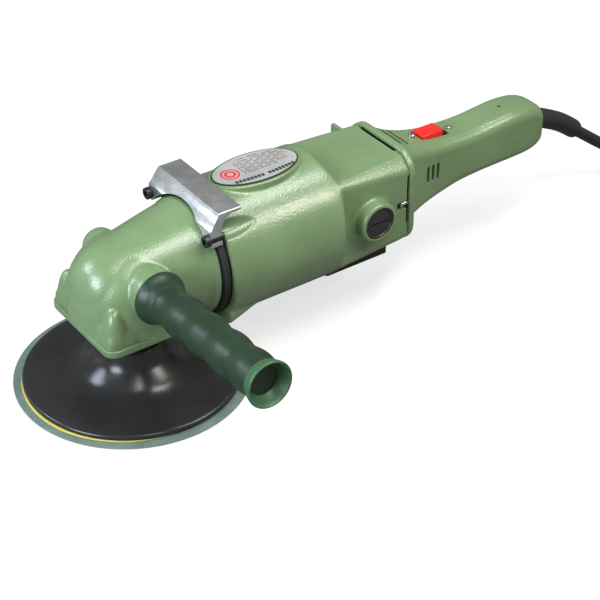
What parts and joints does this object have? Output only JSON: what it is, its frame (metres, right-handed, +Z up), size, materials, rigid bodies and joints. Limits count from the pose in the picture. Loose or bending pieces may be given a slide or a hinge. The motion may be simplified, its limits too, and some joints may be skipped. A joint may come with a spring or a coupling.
{
  "type": "right-angle disc sander and polisher",
  "caption": "Hand-held right-angle electric disc sander and polisher with rubber backing pad, side handle, slide switch and mains cord.",
  "frame": {"origin": "on the spindle's axis, in the plane of the abrasive face that the tool rests on", "axes": "+X along the motor's axis from the gearhead to the rear handle and cord, -Y towards the side handle, +Z up along the spindle"},
  "size_m": [0.665, 0.296, 0.142],
  "materials": {
    "green_paint": "gloss with a fine orange-peel texture",
    "green_grip": "satin",
    "steel": "turned and ground",
    "cast_aluminium": "cast, semi-gloss",
    "plate_aluminium": "printed plate",
    "laminated_steel": "varnished laminations",
    "copper": "varnished wire",
    "black_plastic": "satin",
    "red_plastic": "gloss",
    "black_rubber": "matt",
    "brass": "turned",
    "carbon": "pressed graphite",
    "abrasive": "fine resin-bonded grains",
    "yellow_fibre": "pressed fibre"
  },
  "bodies": {
    "frame": {"brush_cap_left": "black_plastic", "brush_cap_right": "black_plastic", "brush_holder_left": "brass", "brush_holder_right": "brass", "brush_spring_left": "steel", "brush_spring_right": "steel", "clamp_strap": "black_rubber", "cord_coil": "black_rubber", "cord_sleeve": "black_rubber", "cord_tail": "black_rubber", "cover_screw_1": "steel", "cover_screw_2": "steel", "cover_screw_3": "steel", "cover_screw_4": "steel", "field_coil_front": "copper", "field_coil_rear": "copper", "foot_strip": "black_rubber", "front_motor_bearing": "steel", "gear_housing": "green_paint", "gearbox_cover": "green_paint", "handle_cover": "green_paint", "handle_screw_left": "steel", "handle_screw_right": "steel", "lower_spindle_bearing": "steel", "mains_cord": "black_rubber", "motor_housing": "green_paint", "nameplate": "plate_aluminium", "plug_body": "black_plastic", "plug_pin_1": "brass", "plug_pin_2": "brass", "rear_bearing_bracket": "cast_aluminium", "rear_handle": "green_paint", "rear_motor_bearing": "steel", "saddle": "cast_aluminium", "saddle_bolt_left": "black_plastic", "saddle_bolt_right": "black_plastic", "side_handle": "green_grip", "side_handle_stud": "steel", "stator_core": "laminated_steel", "switch_body": "black_plastic", "switch_screw_front": "steel", "switch_screw_rear": "steel", "upper_spindle_bearing": "steel"},
    "spindle_body": {"spindle": "steel", "crown_gear": "steel", "backing_pad": "black_rubber", "liner_disc": "yellow_fibre", "abrasive_disc": "abrasive", "clamp_nut": "steel"},
    "armature_body": {"armature_shaft": "steel", "armature_core": "laminated_steel", "commutator": "copper", "fan": "black_plastic", "bevel_pinion": "steel"},
    "switch_slide_body": {"switch_slide": "red_plastic"},
    "brush_left_body": {"carbon_brush_left": "carbon"},
    "brush_right_body": {"carbon_brush_right": "carbon"}
  },
  "joints": [
    {"name": "spindle_spin", "type": "hinge", "parent": "frame", "child": "spindle_body", "pos_m": [0, 0, 0], "axis": [0, 0, 1], "continuous": true},
    {"name": "armature_spin", "type": "hinge", "parent": "frame", "child": "armature_body", "pos_m": [0, 0, 0.0867], "axis": [1, 0, 0], "continuous": true},
    {"name": "switch_travel", "type": "slide", "parent": "frame", "child": "switch_slide_body", "axis": [1, 0, 0], "range_m": [0, 0.0045]},
    {"name": "brush_left_slide", "type": "slide", "parent": "frame", "child": "brush_left_body", "axis": [0, -1, 0], "range_m": [0, 0.004], "stiffness_N_per_m": 300, "springref_m": -0.013, "deforming": ["brush_spring_left"]},
    {"name": "brush_right_slide", "type": "slide", "parent": "frame", "child": "brush_right_body", "axis": [0, 1, 0], "range_m": [0, 0.004], "stiffness_N_per_m": 300, "springref_m": -0.013, "deforming": ["brush_spring_right"]}
  ],
  "couplings": [
    {"joint": "armature_spin", "follows": "spindle_spin", "ratio": 4}
  ]
}
